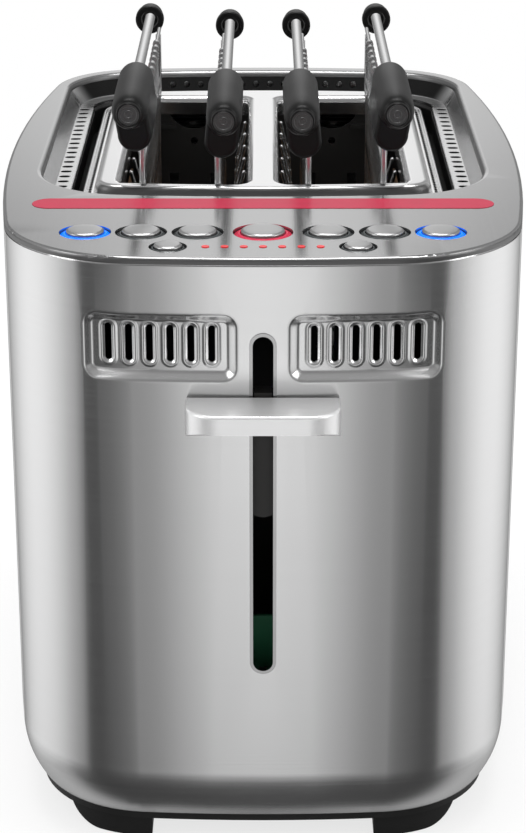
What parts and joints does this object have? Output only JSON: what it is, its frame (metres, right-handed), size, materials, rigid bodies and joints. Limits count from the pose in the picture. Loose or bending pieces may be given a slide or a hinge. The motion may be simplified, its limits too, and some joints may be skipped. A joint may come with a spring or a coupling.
{
  "type": "toaster",
  "caption": "Free-standing slot toaster with a bowed brushed-steel body, a front lever, top buttons, a slide-out crumb tray and hinged wire sandwich cages hanging in its slots.",
  "frame": {"origin": "centre of the footprint box, on the table under the feet", "axes": "front with the lever faces -Y, top faces +Z, +X is to the right seen from the front"},
  "size_m": [0.2, 0.3244, 0.2681],
  "materials": {
    "body_steel": "fine horizontal brushing",
    "top_steel": "satin",
    "tub_steel": "pressed, satin",
    "polished_plate": "polished",
    "black_base": "fine grain",
    "foot_rubber": "matt",
    "screw_steel": "plain",
    "black_enamel": "matt black",
    "mica": "layered mica",
    "ribbon_metal": "heating alloy",
    "bright_wire": "bright",
    "shield_metal": "mill finish",
    "green_board": "solder mask",
    "copper_coil": "enamelled wire",
    "blue_lens": "translucent",
    "grey_lens": "translucent",
    "red_lens": "translucent",
    "rose_bar": "translucent",
    "bright_trim": "polished",
    "black_rubber": "matt",
    "satin_handle": "satin",
    "key_steel": "brushed dome",
    "cage_wire": "bright wire",
    "grip_black": "satin black"
  },
  "bodies": {
    "body": {"outer_shell": "body_steel", "top_panel": "top_steel", "vent_tub": "tub_steel", "slot_plate": "polished_plate", "base_pan": "black_base", "feet": "foot_rubber", "base_screws": "screw_steel", "front_end_plate": "black_enamel", "rear_end_plate": "black_enamel", "heater_board_left": "mica", "heater_board_center": "mica", "heater_board_right": "mica", "heater_ribbons": "ribbon_metal", "bread_guides_left": "bright_wire", "bread_guides_right": "bright_wire", "heat_shields": "shield_metal", "guide_posts": "bright_wire", "control_board": "green_board", "button_board": "green_board", "latch_magnet": "copper_coil", "blue_rings": "blue_lens", "grey_rings": "grey_lens", "red_ring": "red_lens", "light_lenses": "red_lens", "light_bar": "rose_bar", "lever_slot_trim": "bright_trim", "cord_gland": "black_rubber"},
    "carriage": {"carriage_bracket": "black_enamel", "bread_rests": "bright_wire", "lever_handle": "satin_handle", "latch_armature": "screw_steel", "carriage_spring": "screw_steel"},
    "key_outer_left": {"key_outer_left": "key_steel"},
    "key_left": {"key_left": "key_steel"},
    "key_inner_left": {"key_inner_left": "key_steel"},
    "key_middle": {"key_middle": "key_steel"},
    "key_inner_right": {"key_inner_right": "key_steel"},
    "key_right": {"key_right": "key_steel"},
    "key_outer_right": {"key_outer_right": "key_steel"},
    "key_small_left": {"key_small_left": "key_steel"},
    "key_small_right": {"key_small_right": "key_steel"},
    "crumb_tray": {"crumb_tray": "shield_metal"},
    "left_cage": {"left_hinge_rod": "bright_wire"},
    "left_outer_half": {"left_outer_grid": "cage_wire", "left_outer_links": "screw_steel", "left_outer_tube": "bright_wire", "left_outer_grips": "grip_black"},
    "left_inner_half": {"left_inner_grid": "cage_wire", "left_inner_links": "screw_steel", "left_inner_tube": "bright_wire", "left_inner_grips": "grip_black"},
    "right_cage": {"right_hinge_rod": "bright_wire"},
    "right_outer_half": {"right_outer_grid": "cage_wire", "right_outer_links": "screw_steel", "right_outer_tube": "bright_wire", "right_outer_grips": "grip_black"},
    "right_inner_half": {"right_inner_grid": "cage_wire", "right_inner_links": "screw_steel", "right_inner_tube": "bright_wire", "right_inner_grips": "grip_black"}
  },
  "joints": [
    {"name": "lever_slide", "type": "slide", "parent": "body", "child": "carriage", "axis": [0, 0, 1], "range_m": [-0.09, 0.014], "stiffness_N_per_m": 150, "springref_m": 0.0185, "deforming": ["carriage_spring"]},
    {"name": "key_outer_left_press", "type": "slide", "parent": "body", "child": "key_outer_left", "axis": [0, 0, -1], "range_m": [0, 0.0015], "stiffness_N_per_m": 400, "springref_m": -0.002},
    {"name": "key_left_press", "type": "slide", "parent": "body", "child": "key_left", "axis": [0, 0, -1], "range_m": [0, 0.0015], "stiffness_N_per_m": 400, "springref_m": -0.002},
    {"name": "key_inner_left_press", "type": "slide", "parent": "body", "child": "key_inner_left", "axis": [0, 0, -1], "range_m": [0, 0.0015], "stiffness_N_per_m": 400, "springref_m": -0.002},
    {"name": "key_middle_press", "type": "slide", "parent": "body", "child": "key_middle", "axis": [0, 0, -1], "range_m": [0, 0.0015], "stiffness_N_per_m": 400, "springref_m": -0.002},
    {"name": "key_inner_right_press", "type": "slide", "parent": "body", "child": "key_inner_right", "axis": [0, 0, -1], "range_m": [0, 0.0015], "stiffness_N_per_m": 400, "springref_m": -0.002},
    {"name": "key_right_press", "type": "slide", "parent": "body", "child": "key_right", "axis": [0, 0, -1], "range_m": [0, 0.0015], "stiffness_N_per_m": 400, "springref_m": -0.002},
    {"name": "key_outer_right_press", "type": "slide", "parent": "body", "child": "key_outer_right", "axis": [0, 0, -1], "range_m": [0, 0.0015], "stiffness_N_per_m": 400, "springref_m": -0.002},
    {"name": "key_small_left_press", "type": "slide", "parent": "body", "child": "key_small_left", "axis": [0, 0, -1], "range_m": [0, 0.0015], "stiffness_N_per_m": 400, "springref_m": -0.002},
    {"name": "key_small_right_press", "type": "slide", "parent": "body", "child": "key_small_right", "axis": [0, 0, -1], "range_m": [0, 0.0015], "stiffness_N_per_m": 400, "springref_m": -0.002},
    {"name": "tray_slide", "type": "slide", "parent": "body", "child": "crumb_tray", "axis": [0, 1, 0], "range_m": [0, 0.19]},
    {"name": "left_cage_lift", "type": "slide", "parent": "body", "child": "left_cage", "axis": [0, 0, 1], "range_m": [0, 0.12]},
    {"name": "left_outer_half_squeeze", "type": "hinge", "parent": "left_cage", "child": "left_outer_half", "pos_m": [-0.0314, 0.03075, 0.14], "axis": [0, 1, 0], "range_deg": [0, 4.2], "stiffness_Nm_per_rad": 2, "springref_deg": -2.86},
    {"name": "left_inner_half_squeeze", "type": "hinge", "parent": "left_cage", "child": "left_inner_half", "pos_m": [-0.0314, 0.03075, 0.14], "axis": [0, 1, 0], "range_deg": [-4.2, 0], "stiffness_Nm_per_rad": 2, "springref_deg": 2.86},
    {"name": "right_cage_lift", "type": "slide", "parent": "body", "child": "right_cage", "axis": [0, 0, 1], "range_m": [0, 0.12]},
    {"name": "right_outer_half_squeeze", "type": "hinge", "parent": "right_cage", "child": "right_outer_half", "pos_m": [0.0314, 0.03075, 0.14], "axis": [0, 1, 0], "range_deg": [-4.2, 0], "stiffness_Nm_per_rad": 2, "springref_deg": 2.86},
    {"name": "right_inner_half_squeeze", "type": "hinge", "parent": "right_cage", "child": "right_inner_half", "pos_m": [0.0314, 0.03075, 0.14], "axis": [0, 1, 0], "range_deg": [0, 4.2], "stiffness_Nm_per_rad": 2, "springref_deg": -2.86}
  ],
  "couplings": [
    {"joint": "left_inner_half_squeeze", "follows": "left_outer_half_squeeze", "ratio": -1},
    {"joint": "right_inner_half_squeeze", "follows": "right_outer_half_squeeze", "ratio": -1}
  ]
}
